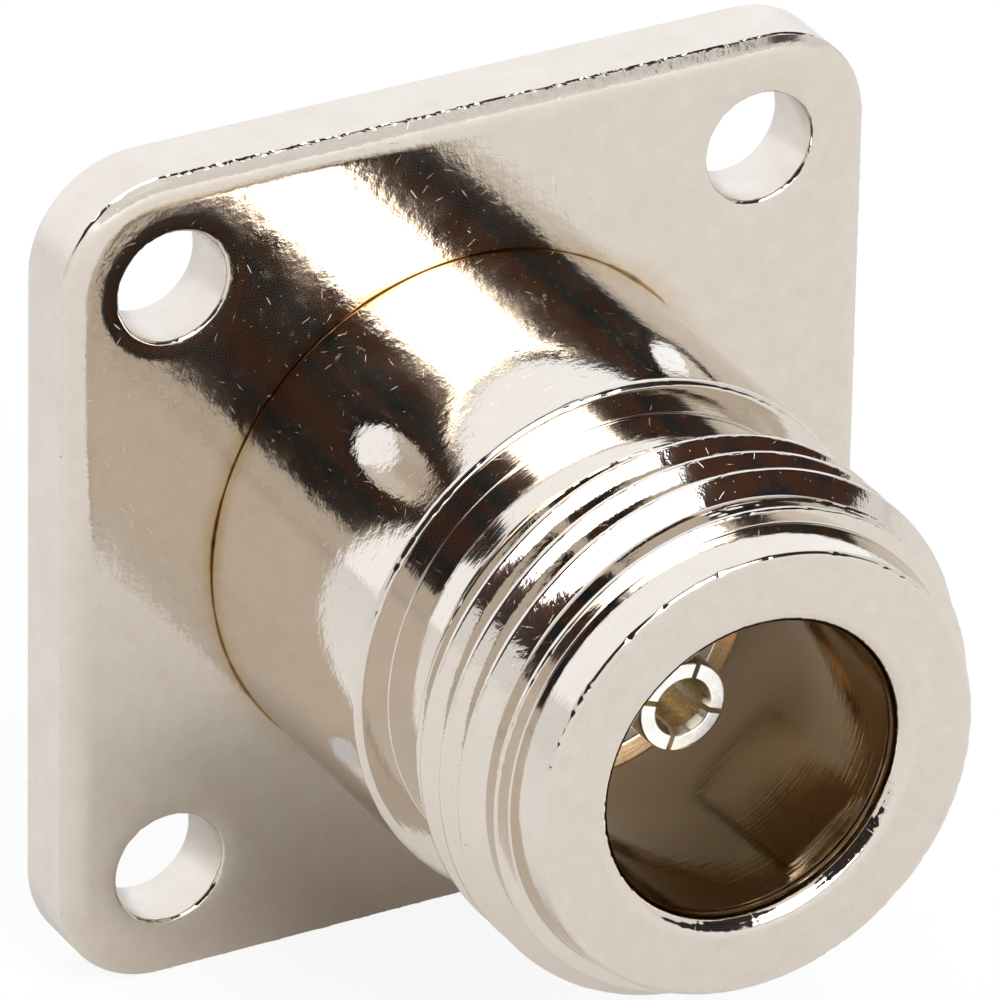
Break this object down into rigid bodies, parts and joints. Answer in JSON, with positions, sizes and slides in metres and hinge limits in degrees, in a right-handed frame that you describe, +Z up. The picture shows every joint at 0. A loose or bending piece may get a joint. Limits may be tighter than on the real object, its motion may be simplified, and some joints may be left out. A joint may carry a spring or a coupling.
{
  "type": "circular coaxial connector",
  "caption": "Square-flanged coaxial panel jack with a threaded coupling nose, a slotted socket contact inside its open mouth and a solder cup behind the panel.",
  "frame": {"origin": "centre of the flange's rear face, the face that seats on the panel, on the jack's axis", "axes": "+Y along the jack's axis toward the solder cup, so the mouth looks toward -Y; +X and +Z along the flange's sides, +Z up"},
  "size_m": [0.025, 0.0287, 0.025],
  "materials": {
    "nickel_turned": "bright nickel plate on turned brass, finely scratched",
    "nickel_sheet": "bright nickel plate on blanked brass sheet",
    "silver_plate": "satin silver plate on turned copper alloy",
    "fluoropolymer": "turned white fluoropolymer, waxy and matt"
  },
  "bodies": {
    "root": {"jack_body": "nickel_turned", "mounting_flange": "nickel_sheet", "front_insulator": "fluoropolymer", "centre_contact": "silver_plate", "rear_insulator": "fluoropolymer"}
  },
  "joints": []
}
